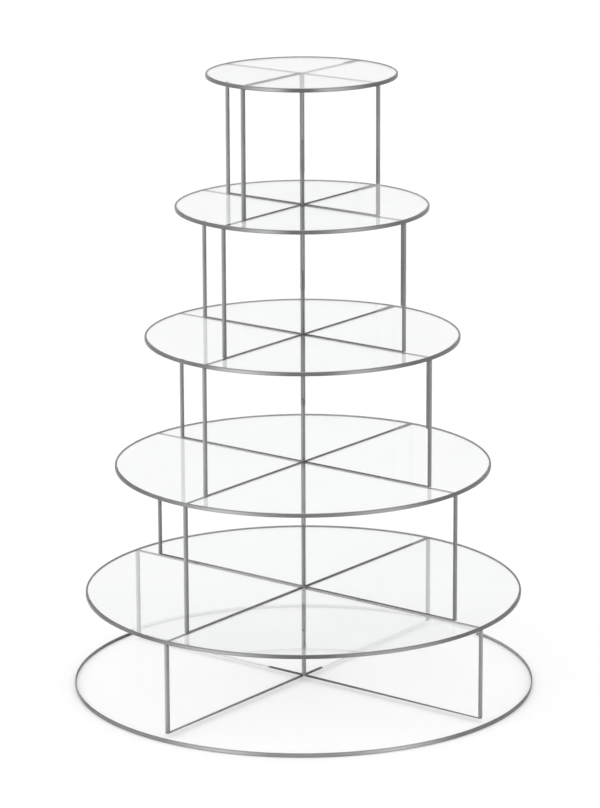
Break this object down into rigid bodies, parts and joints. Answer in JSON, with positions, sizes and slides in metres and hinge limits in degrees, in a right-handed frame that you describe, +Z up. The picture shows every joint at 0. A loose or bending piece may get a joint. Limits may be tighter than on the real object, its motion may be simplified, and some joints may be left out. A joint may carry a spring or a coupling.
{
  "type": "acrylic cupcake tower stand",
  "caption": "Empty round display stand for cupcakes: clear flat discs, smaller towards the top, held apart by clear crossed panels.",
  "frame": {"origin": "centre of the base disc's underside, on the surface that the stand rests on", "axes": "+Z up along the tower's axis; the crossed panels run along X and Y, the panels slotted from above along X and those slotted from below along Y"},
  "size_m": [0.37, 0.37, 0.497],
  "materials": {
    "disc_acrylic": "clear acrylic sheet, polished faces, satin grey-looking cut rim",
    "divider_acrylic": "clear acrylic sheet, polished faces, satin grey-looking cut edges"
  },
  "bodies": {
    "root": {"base_disc": "disc_acrylic", "divider_1_under": "divider_acrylic", "divider_1_over": "divider_acrylic", "disc_1": "disc_acrylic", "divider_2_under": "divider_acrylic", "divider_2_over": "divider_acrylic", "disc_2": "disc_acrylic", "divider_3_under": "divider_acrylic", "divider_3_over": "divider_acrylic", "disc_3": "disc_acrylic", "divider_4_under": "divider_acrylic", "divider_4_over": "divider_acrylic", "disc_4": "disc_acrylic", "divider_5_under": "divider_acrylic", "divider_5_over": "divider_acrylic", "disc_5": "disc_acrylic"}
  },
  "joints": []
}
